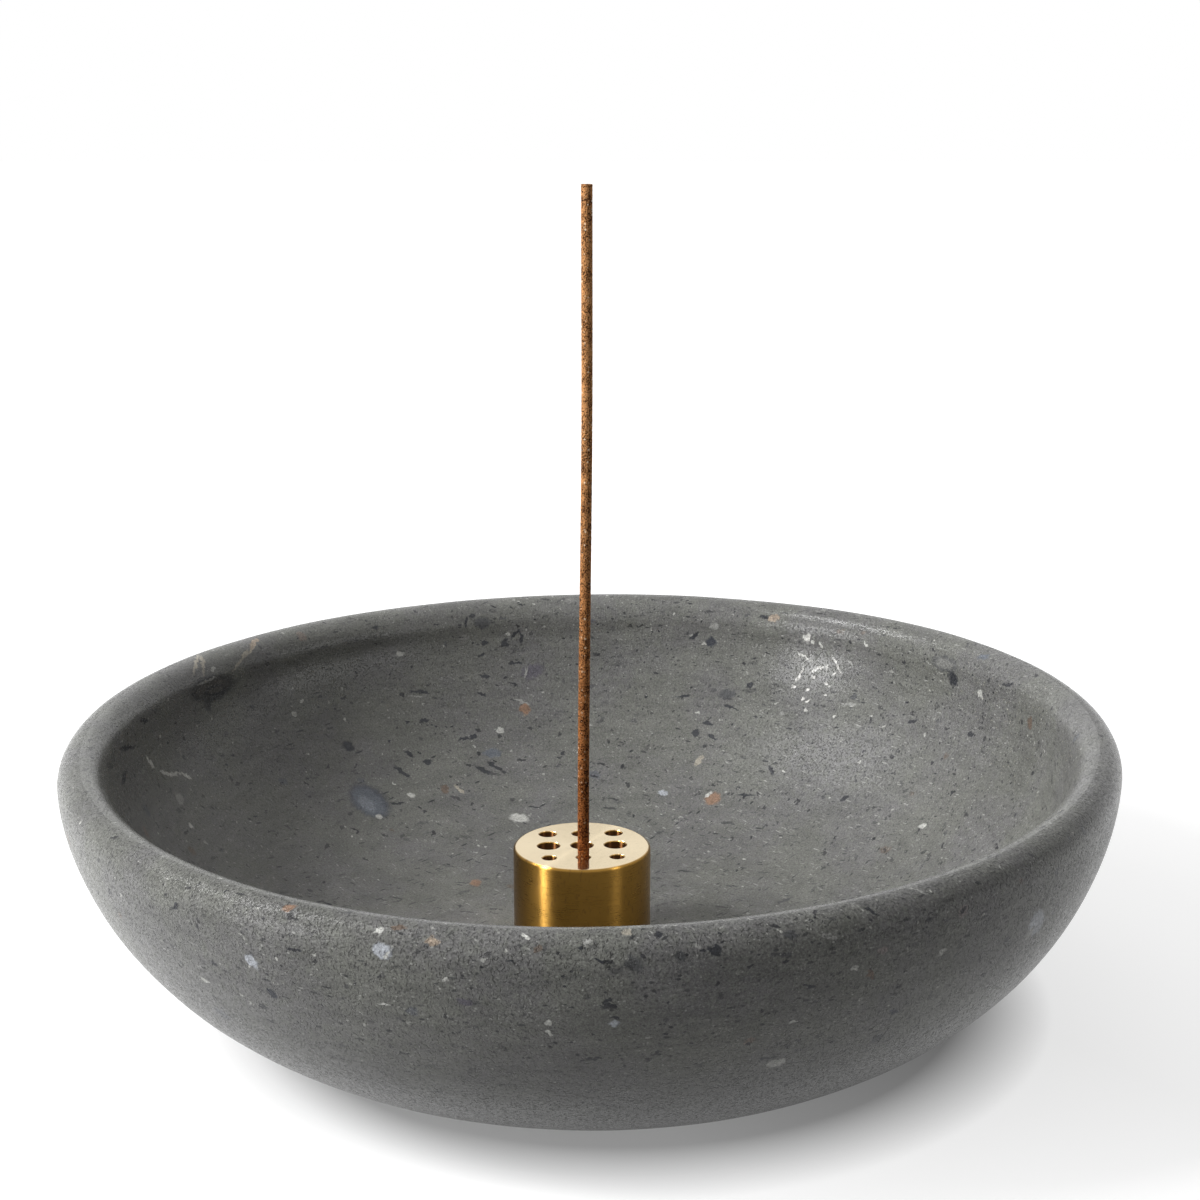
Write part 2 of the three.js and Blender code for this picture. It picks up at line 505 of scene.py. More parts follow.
def makeScatterGroup():  # loose grains of one kind, some of them missing
    tree, given, result = newGroup(
        "scatteredGrains",
        {"Vector": "Vector", "Turn": "Float", "Length": "Float", "Width": "Float", "Share": "Float"},
        {"Mask": "Float", "Shade": "Float"})
    turned = addNode(tree, "VectorRotate", {"Vector": given["Vector"], "Angle": given["Turn"]},
                     rotation_type="Z_AXIS")
    size = addNode(tree, "CombineXYZ", {"X": given["Length"], "Y": given["Width"], "Z": given["Width"]})
    scaled = vectorMaths(tree, "DIVIDE", turned.outputs[0], size.outputs[0])
    cells = addNode(tree, "TexVoronoi", {"Vector": scaled, "Scale": 1})
    parts = addNode(tree, "SeparateColor", {0: cells.outputs["Color"]})
    present = maths(tree, "LESS_THAN", parts.outputs[0], given["Share"])
    radius = spread(tree, parts.outputs[1], 0, 1, *grainRadii)
    core = maths(tree, "MULTIPLY", radius, grainCore)
    spot = spread(tree, cells.outputs["Distance"], core, radius, 1, 0, "SMOOTHSTEP")
    tree.links.new(maths(tree, "MULTIPLY", spot, present), result["Mask"])
    tree.links.new(parts.outputs[2], result["Shade"])
    return tree


def makeMarkGroup():  # one oval mark at a place, over the colour given
    tree, given, result = newGroup(
        "placedMark",
        {"Colour": "Color", "Vector": "Vector", "Place": "Vector", "Turn": "Vector", "Size": "Vector",
         "Tone": "Color"},
        {"Colour": "Color"})
    placing = {"Vector": given["Vector"], "Location": given["Place"], "Rotation": given["Turn"],
               "Scale": given["Size"]}
    away = addNode(tree, "Mapping", placing, vector_type="TEXTURE")
    mask = spread(tree, vectorMaths(tree, "LENGTH", away.outputs[0]), *markFade)
    tree.links.new(mixColours(tree, mask, given["Colour"], given["Tone"]), result["Colour"])
    return tree


scatteredGrains = makeScatterGroup()
placedMark = makeMarkGroup()


def scatter(tree, vector, turn, length, width, share):
    return addNode(tree, "Group", {"Vector": vector, "Turn": turn, "Length": length, "Width": width,
                                   "Share": share}, node_tree=scatteredGrains).outputs


# Stone

stoneLook = {
    "matrix": (0.150, 0.151, 0.139, 1),
    "purpleMatrix": (0.144, 0.141, 0.143, 1),
    "greenMatrix": (0.150, 0.156, 0.134, 1),
    "ragged": (0.8 * mm, 1.1 * mm),  # size and depth of the uneven edges of pebbles, flecks and marks
    # size, detail and roughness of each noise
    "fineNoise": (0.22 * mm, 2, 0.6),
    "mottling": (1.1 * mm, 3, 0.6),
    "zones": (12 * mm, 2),
    "layers": (2.4 * mm, 3, 0.6),
    "layerStretch": (0.35, 0.35, 1.6),
    "coarseNoise": (0.34 * mm, 1),
    # which part of a noise turns into what
    "purpleZones": (0.42, 0.6, 0, 0.7),
    "greenMottling": (0.45, 0.7, 0, 0.5),
    "lightGrains": (0.34, 0.44, 1, 0),
    "pits": (0.56, 0.66),
    "fineRange": (0.36, 0.64),
    "grain": (0.76, 1.24),  # darkest and lightest of the fine grain, as a share of the colour
    "specks": 0.19,  # how strong the coarse grains and pits are on the walls
    "rimSpecks": {"inside": 0.02, "outside": 0.12},  # and how much stronger near the rim
    "speckledHeights": (30 * mm, 37.5 * mm),
    "speckledSides": (-60 * mm, 60 * mm, 0.75, 1.2),  # the stone is coarser towards the right
    "streaks": (0.83, 1.17),
    "roughness": (0.15, 0.25),
    "pitRoughness": 0.15,
    "specular": {"inside": 0.38, "outside": 0.18},
    "dulled": {  # two heights and the roughness added at each: it is more polished towards the rim
        "inside": (21 * mm, 31 * mm, 0.2, 0),
        "outside": (36.5 * mm, 39 * mm, 0.06, 0),
    },
    # painted shade: the outer wall's colour is darkened against the inside's
    "shade": {"inside": 1, "outside": 0.89},
    "footShade": {"inside": 0, "outside": 0.75},  # how much darker it is low down: painted shade on the outer wall near the floor
    "footHeights": (13 * mm, 27 * mm),
    "relief": {"inside": 1, "outside": 1.8},
    "flecks": {  # turn, length, width, share, colour
        "blackAcross": (0.25, 4.2 * mm, 1.1 * mm, 0.13, (0.014, 0.015, 0.019, 1)),
        "blackAlong": (1.75, 3.4 * mm, 1.1 * mm, 0.12, (0.018, 0.018, 0.022, 1)),
        "greySlivers": (-0.6, 5.5 * mm, 1.3 * mm, 0.14, (0.075, 0.075, 0.077, 1)),
        "blackDots": (0, 1.3 * mm, 1.0 * mm, 0.08, (0.024, 0.024, 0.030, 1)),
        "whiteSpecks": (0.7, 1.1 * mm, 0.8 * mm, 0.055, (0.46, 0.46, 0.43, 1)),
    },
    "fibres": {
        "paleFibres": (0.9, 2.3 * mm, 0.36 * mm, 0.25, (0.31, 0.31, 0.293, 1)),
        "crossFibres": (2.3, 2.0 * mm, 0.36 * mm, 0.17, (0.27, 0.27, 0.256, 1)),
        "darkFibres": (-0.8, 3.0 * mm, 0.62 * mm, 0.28, (0.024, 0.025, 0.028, 1)),
        "shortDarkFibres": (0.5, 2.2 * mm, 0.56 * mm, 0.2, (0.030, 0.031, 0.034, 1)),
    },
    "fibredSides": (-60 * mm, 60 * mm, 0.5, 1.4),  # more of them towards the right
    "fleckStrength": (0.3, 1),  # the palest and the strongest
    "pebbles": (0.6, 4.4 * mm, 3.0 * mm, 0.07),
    "pebbleStrength": 0.8,
    "pebbleColours": (
        (0.120, 0.092, 0.072, 1),
        (0.098, 0.104, 0.118, 1),
        (0.205, 0.203, 0.192, 1),
        (0.060, 0.062, 0.066, 1),
        (0.185, 0.150, 0.128, 1),
    ),
    "rimHeights": (33 * mm, 38 * mm),
    "pitDepths": (0.035, 0.045),  # in millimetres, on the inner wall and on the rim
    "grainDepths": (0.018, 0.03),
    "mottlingDepth": 0.03,
}

markTones = {
    # the tone of the painted glints in the highlight on the far inner wall
    "bright": (0.66, 0.65, 0.62, 1),
    "white": (0.52, 0.52, 0.49, 1),
    "pale": (0.31, 0.31, 0.295, 1),
    "tan": (0.37, 0.34, 0.28, 1),
    "greyDark": (0.070, 0.072, 0.076, 1),
    "black": (0.018, 0.020, 0.026, 1),
    "dim": (0.200, 0.200, 0.190, 1),
    "blue": (0.125, 0.139, 0.163, 1),
    "navy": (0.030, 0.034, 0.046, 1),
    "paleBlue": (0.400, 0.420, 0.455, 1),
    "umber": (0.098, 0.094, 0.088, 1),
    "mist": (0.195, 0.212, 0.236, 1),
    "brown": (0.125, 0.090, 0.068, 1),
    "orange": (0.270, 0.165, 0.108, 1),
    "paleOrange": (0.360, 0.290, 0.225, 1),
    "pink": (0.225, 0.195, 0.188, 1),
    "purple": (0.102, 0.095, 0.115, 1),
}

# Marks that can be told apart in the picture: its x and y, length, width, tilt in degrees and tone
stoneMarks = {
    "tanStrandOne": (196.5, 662, 17, 3, 80, "tan"),
    "tanStrandTwo": (203, 664, 18, 3, 100, "tan"),
    "tanVeinLow": (241, 660, 24, 2.6, 58, "tan"),
    "tanVeinHigh": (249, 652, 22, 2.6, 50, "tan"),
    "tanVeinHead": (254, 643, 12, 5, 60, "paleOrange"),
    "darkOvalEdge": (212, 688, 40, 23, 15, "black"),
    "darkOval": (212, 688, 33, 16, 15, "umber"),
    "darkOvalHeart": (215, 690.5, 23, 9, 15, "black"),
    "darkOvalCore": (216, 689.5, 17, 5, 15, "umber"),
    "darkOvalArc": (207, 681, 20, 2.4, 25, "pale"),
    "whiteByOval": (213, 669, 5, 4, 0, "white"),
    "whiteUpperLeft": (302, 701, 4, 4, 0, "white"),
    "whiteUpperLeftLow": (294, 714, 5, 4, 0, "white"),
    "squiggleTop": (150, 762, 14, 2.4, -52, "white"),
    "squiggleLeft": (165, 773, 12, 2.6, -25, "white"),
    "squiggleMiddle": (175, 774, 12, 2.6, 5, "white"),
    "squiggleEnd": (186, 776, 12, 2.6, -30, "white"),
    "smudge": (180, 799, 12, 5, -65, "pale"),
    "smudgeLow": (191, 826, 7, 3, -55, "white"),
    "farLeftBlack": (145, 721, 5, 4, 0, "black"),
    "farLeftBar": (127, 748, 15, 4, 8, "black"),
    "farLeftDot": (110, 766, 5, 5, 0, "black"),
    "farLeftLean": (124, 778, 14, 2.6, 70, "black"),
    "leftDot": (226, 764, 4, 3.5, 0, "black"),
    "leftDotHigh": (252, 706, 4, 4, 0, "black"),
    "whiteHigh": (400, 654, 6, 4, 0, "white"),
    "whiteMiddle": (500, 730, 7, 5.5, 0, "white"),
    "whiteLower": (411, 795, 6, 4.5, 0, "white"),
    "whiteTop": (508, 634, 4, 4, 0, "white"),
    "blackHigh": (374.5, 627, 6, 4, 0, "black"),
    "blackUpright": (466, 622, 11, 3, 83, "black"),
    "blackKnot": (472, 616, 5, 4, 0, "black"),
    "blackPair": (485, 643, 6.5, 5, 0, "black"),
    "blackPairRight": (505, 643, 6, 8, 0, "black"),
    "blackLean": (515, 634, 13, 2.8, 35, "black"),
    "blackHook": (521, 638, 13, 3, -83, "black"),
    "blackShort": (482, 655, 7, 3, 20, "black"),
    "blackFlat": (514.6, 663, 13, 3, 5, "black"),
    "blackSlope": (485, 676, 11, 3, -12, "black"),
    "blackSlopeLow": (481.5, 694, 9, 3, -25, "black"),
    "lineDark": (419, 692, 19, 2.4, -3, "black"),
    "linePale": (417, 696, 15, 2.2, 0, "pale"),
    "greyCloud": (482, 622.5, 16, 10, 0, "greyDark"),
    "blackMiddle": (424, 720, 8, 3.5, -5, "black"),
    "blackRow": (464, 739, 11, 3, 10, "black"),
    "blackRowEnd": (473, 737, 6, 4, 0, "black"),
    "blackSlant": (410, 754, 11, 3, -35, "black"),
    "blackSlantLow": (402, 772, 19, 3.6, -35, "black"),
    "blackStub": (427, 762, 8, 5, 0, "black"),
    "blackLong": (483, 770, 18, 3.4, -28, "black"),
    "blackLongTwo": (495, 766, 17, 3, -32, "black"),
    "blackThin": (398, 803, 13, 2.2, 3, "black"),
    "blueCloud": (492, 753, 17, 8, 0, "blue"),
    "darkPebble": (348, 746, 10, 10, 0, "black"),
    "bluePebbleEdge": (369.6, 801, 38, 26, -48, "navy"),
    "bluePebble": (369, 802, 34, 22, -48, "blue"),
    "bluePebbleHeart": (367, 804, 19, 10, -48, "mist"),
    "bluePebbleSpot": (379, 817, 6, 5, 0, "white"),
    "purpleFleck": (532, 671, 20, 13, 20, "purple"),
    "purpleFleckEdge": (525, 673, 11, 2.6, 80, "pale"),
    "rustDot": (524.7, 709, 9, 9, 0, "orange"),
    "rustArc": (522.6, 702, 14, 2.4, -25, "pale"),
    "brownDot": (445, 789, 7, 7, 0, "brown"),
    "tanByDot": (459, 789, 11, 2.6, -40, "tan"),
    "whiteChip": (519, 818, 17, 8, -10, "white"),
    "orangeGrain": (476, 883, 9, 6, 0, "orange"),
    "blackBehind": (694, 636, 12, 3.4, 38, "black"),
    "bluePebbleBehind": (711, 642, 10, 9, 0, "navy"),
    "paleBehind": (714, 626, 8, 5, 0, "pale"),
    "blackRight": (764, 617, 11, 3, 0, "black"),
    "blackRightTwo": (750, 685, 9, 3.4, 40, "black"),
    "blackRightThree": (682, 696, 14, 2.8, 6, "black"),
    "blackRightFour": (731, 707, 14, 3, -22, "black"),
    "blackRightFive": (708, 723, 9, 4, -15, "black"),
    "blackRightSix": (712.6, 737, 9, 3.4, -30, "black"),
    "blackRightSeven": (696, 733, 7, 7, 0, "black"),
    "greyRight": (727, 694, 16, 8, 0, "greyDark"),
    "paleOrangeRight": (774, 618, 9, 7, 0, "paleOrange"),
    "blackLowRight": (747, 795, 15, 2.6, -5, "black"),
    "blackLowRightTwo": (771, 770, 9, 3.4, -75, "black"),
    "blackLowRightThree": (844.5, 798, 9, 4.4, 40, "black"),
    "tanLowRight": (699, 760.5, 11, 4, 50, "tan"),
    "orangePebble": (712.6, 799, 14, 11, 0, "orange"),
    "orangePebbleEdge": (708, 795, 8, 3, 45, "white"),
    "whiteBlueChip": (663, 793, 9, 5, 0, "paleBlue"),
    # Painted highlight, down to the last glint dot: real scratches with their glints painted on, and painted
    # sparkle dots, where the far right inner wall catches the light
    "glintScratchOne": (817.4, 668.6, 14, 2.4, 24, "bright"),
    "glintScratchTwo": (799.8, 674.4, 14, 2.4, 63, "bright"),
    "glintScratchThree": (804.8, 656.8, 16, 1.8, -29, "white"),
    "glintScratchFour": (837.3, 666, 15, 2.2, -63, "bright"),
    "glintScratchFive": (827, 667.5, 6, 1.8, -70, "white"),
    "glintScratchSix": (807.5, 700.8, 6, 2.2, 15, "bright"),
    "glintScratchSeven": (848.8, 704.2, 15, 1.6, -8, "pale"),
    "glintScratchEight": (821, 644.2, 6, 2.2, -72, "white"),
    "glintScratchNine": (865.6, 643.8, 7, 2.2, -50, "white"),
    "glintBehind": (807.4, 638, 8, 4.8, 62, "bright"),
    "glintBehindSide": (803.2, 636.5, 5, 2.6, 65, "white"),
    "glintBehindDot": (812.8, 642.2, 3.4, 3, 0, "white"),
    "glintDotOne": (793.7, 686.2, 2.8, 2.8, 0, "bright"),
    "glintDotTwo": (808.2, 689.7, 2.8, 2.8, 0, "bright"),
    "glintDotThree": (825.8, 684, 3, 3, 0, "bright"),
    "glintDotFour": (830, 686.6, 3.2, 2.8, 0, "white"),
    "glintDotFive": (825.4, 694.3, 2.8, 2.8, 0, "bright"),
    "glintDotSix": (802.5, 698.9, 2.8, 2.8, 0, "bright"),
    "glintDotSeven": (835, 674, 3, 2.6, 0, "bright"),
    "glintDotEight": (814, 677.4, 3, 2.8, 0, "bright"),
    "glintDotNine": (805.5, 710.3, 2.6, 2.6, 0, "white"),
    "glintDotTen": (781.4, 713.8, 4.4, 2.6, 10, "pale"),
    "glintDotEleven": (833.5, 716.9, 4.4, 2.8, -10, "white"),
    "darkDotByScratch": (853.7, 696.6, 5, 5, 0, "greyDark"),
    "ringedPebbleEdge": (944.5, 664, 23, 14, -15, "greyDark"),
    "ringedPebble": (944.5, 664, 18, 10, -15, "dim"),
    "leafPebble": (953, 679, 13, 8, -60, "black"),
    "blueGreyFleck": (983, 657, 10, 5, 0, "blue"),
    "farRightDark": (1008, 684.5, 10, 3, 0, "black"),
    "farRightDarkTwo": (971, 734, 6, 5, 0, "black"),
    "farRightDarkThree": (912.6, 721, 9, 3, 12, "black"),
    "farRightRust": (1030, 723, 11, 4, 90, "brown"),
    "farRightWhite": (980, 694, 9, 4.4, -60, "white"),
    "farRightWhiteLow": (923, 826, 7, 4.6, 0, "white"),
    "sideBlack": (214, 963, 7, 4, -30, "black"),
    "sideBlackTwo": (175, 907, 7, 4.4, 40, "black"),
    "sideWhite": (205, 980, 10, 2, -30, "white"),
    "sideWedge": (251.5, 961, 17, 7, -45, "paleBlue"),
    "sideNavy": (272, 993, 11, 5.5, -40, "navy"),
    "rimOrange": (289, 908, 13, 5.5, 10, "orange"),
    "rimBlack": (294, 950, 13, 3.4, -10, "black"),
    "rimWhitePebble": (379, 931, 9, 6.5, 0, "white"),
    "rimReddish": (400, 927, 14, 5.4, 0, "brown"),
    "rimOrangePebble": (432, 941, 12, 9.5, 0, "paleOrange"),
    "rimBluePebble": (381.4, 951, 19, 13.5, -25, "paleBlue"),
    "rimBluePebbleEdge": (387, 955, 9, 3, 50, "white"),
    "outerWhiteStreak": (384, 1004, 13, 2.2, -5, "white"),
    "outerLavender": (465, 1002, 13, 6.5, 0, "purple"),
    "outerWhite": (444, 980, 5, 4.4, 0, "white"),
    "outerBlack": (404, 1054, 9, 2, 0, "black"),
    "frontChip": (525.6, 936, 9, 4, -25, "white"),
    "frontPale": (587, 942, 7, 6, 0, "pale"),
    "frontPaleTwo": (697.5, 946, 6, 5, 0, "pale"),
    "frontBeige": (626.6, 932, 9, 7, 0, "tan"),
    "frontDark": (657.5, 934, 8, 5, 0, "black"),
    "frontDarkPebble": (680.6, 957, 11, 8, 0, "greyDark"),
    "frontBlackPebble": (715.6, 950.6, 13, 10, 0, "black"),
    "frontBlack": (598.6, 960, 10, 3, -15, "black"),
    "frontBlackTwo": (510, 963, 11, 2.6, -20, "black"),
    "frontBlackThree": (580, 947, 6, 4, 0, "black"),
    "frontBlackFour": (608.4, 1001, 8, 4.4, 25, "black"),
    "frontWhite": (549, 1023.5, 7, 4.6, 0, "white"),
    "frontWhiteTwo": (549, 1033, 7, 3, -35, "white"),
    "frontBlueTop": (615, 1018, 9, 3, 0, "black"),
    "frontBlue": (615, 1023.5, 10, 5.5, 0, "paleBlue"),
    "frontLow": (605, 1105.6, 17, 2.2, 3, "black"),
    "frontLowTwo": (594, 1058.5, 17, 2, 2, "black"),
    "rightDark": (792, 935, 16, 8.5, 0, "greyDark"),
    "rightPaleStreak": (829, 936, 14, 4.4, -10, "pale"),
    "rightBlack": (809, 987, 13, 3.4, -15, "black"),
    "rightBlackLow": (767.5, 1058, 19, 2.2, 5, "black"),
    "rightBlackLowTwo": (787, 1084, 13, 3, 20, "black"),
    "rightLens": (776.6, 1063, 17, 5.5, 10, "white"),
    "rightWhite": (793, 1022, 6, 2.6, 0, "white"),
    "rightLine": (872, 911, 16, 3, -28, "black"),
    "rightScratch": (920, 891, 17, 2, -20, "pale"),
    "rightPitEdge": (963.7, 911, 12, 7, 50, "pink"),
    "rightPit": (963.7, 911, 8, 3.6, 50, "black"),
    "bigEllipse": (1036.7, 923, 23, 11, 58, "paleBlue"),
    "bigEllipseTail": (1029, 934, 14, 4, 52, "pale"),
    "nearEllipse": (1007, 939, 8, 3.6, 45, "black"),
    "farEdgeBlack": (1057, 871.5, 8, 3, 75, "black"),
    "rightBlackFive": (929, 919, 7, 4.4, 20, "black"),
    "rightPink": (883, 950, 10, 5.5, 25, "pink"),
    "rightRust": (870.6, 974, 10, 6.5, -50, "brown"),
    "rightWhiteTwo": (853, 969, 8, 3.6, 20, "white"),
    "rightWhiteThree": (943, 951, 8, 3.6, 35, "white"),
    "rightNavy": (893, 1011, 9, 4.4, 0, "navy"),
    "rightBlackPebble": (877.5, 1038, 13, 6.5, 20, "black"),
}

markDepth = 3 * mm  # how far a mark reaches into the stone
markSpread = 1.15  # a mark fades out at its edge, so it is made a little larger
markReach = 1.2  # the sectors that a mark may touch lie within this many of its half lengths
markMargin = 2 * mm  # and this much more
innerFloorTop = 30 * mm  # a level face that looks up and lies lower is the floor, not the rim
sectorCount = 16


def castPixel(x, y):  # where the line of sight through a picture pixel meets the bowl
    half = cameraSetup["frameSize"] / 2
    reach = cameraSetup["sensor"] / cameraSetup["lens"] / cameraSetup["frameSize"]
    sight = camera.matrix_world.to_3x3() @ Vector(((x - half) * reach, (half - y) * reach, -1))
    found, place, normal, face = bowl.ray_cast(camera.location, sight)
    return place if found else None, normal


def markPlacement(x, y, length, width, tilt):  # where it lies in the stone, its turn and its half sizes
    lean = math.radians(tilt)
    stepX, stepY = math.cos(lean) / 2, -math.sin(lean) / 2
    place, normal = castPixel(x, y)
    ends = [castPixel(x + way * length * stepX, y + way * length * stepY)[0] for way in (-1, 1)]
    sides = [castPixel(x + way * width * stepY, y - way * width * stepX)[0] for way in (-1, 1)]
    if place is None or None in ends or None in sides:
        return None
    along = ends[1] - ends[0]
    lengthways = (along - along.dot(normal) * normal).normalized()
    axes = Matrix((lengthways, normal.cross(lengthways), normal)).transposed()
    halfWide = abs((sides[1] - sides[0]).dot(axes.col[1])) / 2
    return {
        "Place": place,
        "Turn": Vector(axes.to_euler()),
        "Size": Vector((along.length / 2 * markSpread, halfWide * markSpread, markDepth)),
    }


def makeStoneBody(look):  # the stone without its placed marks
    tree, given, result = newGroup(
        "stoneBody", {"Vector": "Vector", "Relief": "Float", "Rim specks": "Float", "Foot shade": "Float"},
        {"Colour": "Color", "Grain": "Float", "Ragged": "Vector", "Roughness": "Float", "Normal": "Vector"})
    place = given["Vector"]
    raggedSize, raggedDepth = look["ragged"]
    wobble = addNode(tree, "TexNoise", {"Vector": place, "Scale": 1 / raggedSize, "Detail": 1})
    centred = vectorMaths(tree, "SUBTRACT", wobble.outputs["Color"], (0.5, 0.5, 0.5))
    ragged = vectorMaths(tree, "MULTIPLY_ADD", centred, [raggedDepth] * 3, place)
    fine = noise(tree, place, *look["fineNoise"])
    medium = noise(tree, place, *look["mottling"])
    broad = noise(tree, place, *look["zones"])
    layers = noise(tree, stretched(tree, place, look["layerStretch"]), *look["layers"])
    zones = spread(tree, broad, *look["purpleZones"])
    colour = mixColours(tree, zones, look["matrix"], look["purpleMatrix"])
    colour = mixColours(tree, spread(tree, medium, *look["greenMottling"]), colour, look["greenMatrix"])
    pebbles = scatter(tree, ragged, *look["pebbles"])
    kinds = addNode(tree, "ValToRGB", {"Fac": pebbles["Shade"]})
    kinds.color_ramp.interpolation = "CONSTANT"
    stops = kinds.color_ramp.elements
    for i, pebbleColour in enumerate(look["pebbleColours"]):
        start = i / len(look["pebbleColours"])
        stop = stops.new(start) if i > 1 else stops[i]
        stop.position = start
        stop.color = pebbleColour
    pebbled = maths(tree, "MULTIPLY", pebbles["Mask"], look["pebbleStrength"])
    colour = mixColours(tree, pebbled, colour, kinds.outputs["Color"])
    along = addNode(tree, "SeparateXYZ", {0: place}).outputs
    height = along["Z"]
    fibred = spread(tree, along["X"], *look["fibredSides"])
    for vector, scattered, shares in ((ragged, look["flecks"], 1), (place, look["fibres"], fibred)):
        for turn, length, width, share, tone in scattered.values():
            flecks = scatter(tree, vector, turn, length, width, maths(tree, "MULTIPLY", shares, share))
            strength = spread(tree, flecks["Shade"], 0, 1, *look["fleckStrength"])
            colour = mixColours(tree, maths(tree, "MULTIPLY", flecks["Mask"], strength), colour, tone)
    rim = spread(tree, height, *look["rimHeights"], kind="SMOOTHSTEP")
    nearRim = spread(tree, height, *look["speckledHeights"], kind="SMOOTHSTEP")
    speckled = maths(tree, "MULTIPLY_ADD", nearRim, given["Rim specks"], look["specks"])
    speckled = maths(tree, "MULTIPLY", speckled, spread(tree, along["X"], *look["speckledSides"]))
    grains = noise(tree, place, *look["coarseNoise"])
    pits = spread(tree, grains, *look["pits"])
    coarse = maths(tree, "SUBTRACT", spread(tree, grains, *look["lightGrains"]), pits)
    grain = spread(tree, fine, *look["fineRange"], *look["grain"])
    grain = maths(tree, "MULTIPLY", grain, maths(tree, "MULTIPLY_ADD", coarse, speckled, 1))
    grain = maths(tree, "MULTIPLY", grain, spread(tree, layers, *usualNoise, *look["streaks"]))
    # painted shade low on the outer wall
    low = spread(tree, height, *look["footHeights"], 1, 0, kind="SMOOTHSTEP")
    low = maths(tree, "SUBTRACT", 1, maths(tree, "MULTIPLY", low, given["Foot shade"]))
    grain = maths(tree, "MULTIPLY", grain, low)
    roughness = spread(tree, medium, *usualNoise, *look["roughness"])
    roughness = maths(tree, "MULTIPLY_ADD", pits, look["pitRoughness"], roughness)
    relief = maths(tree, "MULTIPLY", fine, spread(tree, rim, 0, 1, *look["grainDepths"]))
    relief = maths(tree, "MULTIPLY_ADD", medium, look["mottlingDepth"], relief)
    pitDepth = maths(tree, "MULTIPLY", pits, spread(tree, rim, 0, 1, *look["pitDepths"]))
    relief = maths(tree, "MULTIPLY", maths(tree, "SUBTRACT", relief, pitDepth), given["Relief"])
    for name, value in (("Colour", colour), ("Grain", grain), ("Ragged", ragged), ("Roughness", roughness),
                        ("Normal", bumped(tree, relief))):
        tree.links.new(value, result[name])
    return tree


def makeStone(name, look, body, placements):  # the stone of one sector, with the marks that lie in it
    material, tree, shader, place = newMaterial("dark_stone_" + name)
    side = name.rstrip("0123456789")
    taken = {"Vector": place, "Relief": look["relief"][side], "Rim specks": look["rimSpecks"][side],
             "Foot shade": look["footShade"][side]}
    stone = addNode(tree, "Group", taken, node_tree=body).outputs
    colour = stone["Colour"]
    for placement in placements:
        colour = addNode(tree, "Group", {**placement, "Colour": colour, "Vector": stone["Ragged"]},
                         node_tree=placedMark).outputs[0]
    # the outer wall's painted shade
    grain = maths(tree, "MULTIPLY", stone["Grain"], look["shade"][side])
    colour = mixColours(tree, 1.0, colour, grain, "MULTIPLY")
    height = addNode(tree, "SeparateXYZ", {0: place}).outputs["Z"]
    roughness = maths(tree, "ADD", stone["Roughness"], spread(tree, height, *look["dulled"][side]))
    fill(tree, shader, {"Base Color": colour, "Roughness": roughness, "Normal": stone["Normal"],
                        "Specular IOR Level": look["specular"][side]})
    return material


def sectorOf(face):  # inside or outside, and how far round
    leansOut = face.normal.x * face.center.x + face.normal.y * face.center.y > 0
    onInnerFloor = face.normal.z > levelNormal and face.center.z < innerFloorTop
    outside = face.normal.z < -levelNormal or (leansOut and not onInnerFloor)
    around = math.atan2(face.center.y, face.center.x) / math.tau % 1
    return ("outside" if outside else "inside") + str(int(around * sectorCount))


def dressInSectors(piece, look):  # a material for each sector with marks: one with all of them is slow
    faces = piece.data.polygons
    middles = KDTree(len(faces))
    for face in faces:
        middles.insert(face.center, face.index)
    middles.balance()
    marksIn = {"inside": [], "outside": []}
    for x, y, length, width, tilt, toneName in stoneMarks.values():
        placement = markPlacement(x, y, length, width, tilt)
        if not placement:
            continue
        placement["Tone"] = markTones[toneName]
        reach = markReach * placement["Size"].x + markMargin
        near = middles.find_range(placement["Place"], reach)
        for sector in {sectorOf(faces[index]) for middle, index, distance in near}:
            marksIn.setdefault(sector, []).append(placement)
    body = makeStoneBody(look)
    for sector, placements in marksIn.items():
        piece.data.materials.append(makeStone(sector, look, body, placements))
    order = list(marksIn)
    for face in faces:
        sector = sectorOf(face)
        face.material_index = order.index(sector if sector in marksIn else sector.rstrip("0123456789"))


# Brass

brassLook = {
    # one brass: the top is painted paler, a painted reflection of the bright room, and the side painted
    # darker, a painted reflection of the dark bowl
    "side": (0.365, 0.200, 0.043, 1),
    "top": (0.83, 0.69, 0.46, 1),
    "stain": (0.22, 0.12, 0.035, 1),
    "sideRoughness": (0.27, 0.33),
    "topRoughness": (0.10, 0.2),
    # size and detail of each noise, and the stretch of its place
    "turnedLines": (0.05 * mm, 1),
    "turnedStretch": (0.02, 0.02, 1),
    "brushedLines": (0.09 * mm, 2),
    "brushedStretch": (0.15, 1, 1),
    "clouds": (2.2 * mm, 3),
    "spots": (0.5 * mm, 2),
    "spotStretch": (1, 1, 0.4),
    "spotStrength": (0.58, 0.68, 0, 0.75),
    "spottedClouds": (0.48, 0.6),
    "topSpots": 0.12,  # the share of the spots that the polished top keeps
    "dullClouds": (0.15, 0.35),
    "lineDepth": 0.0012,  # in millimetres
    "anisotropy": 1,
    "anisotropyTurn": 0.25,
    "topDepths": (0.1 * mm, 0.02 * mm),  # how far down the side turns into the top
    "bore": (0.105, 0.044, 0.016, 1),  # painted shade inside the holes; their unpolished finish is the roughness below
    "boreRoughness": 0.5,
    "boreDepths": (0.3 * mm, 0.1 * mm),
    "boreInsets": (1.2 * mm, 0.8 * mm),  # the holes lie further in from the side than this
}


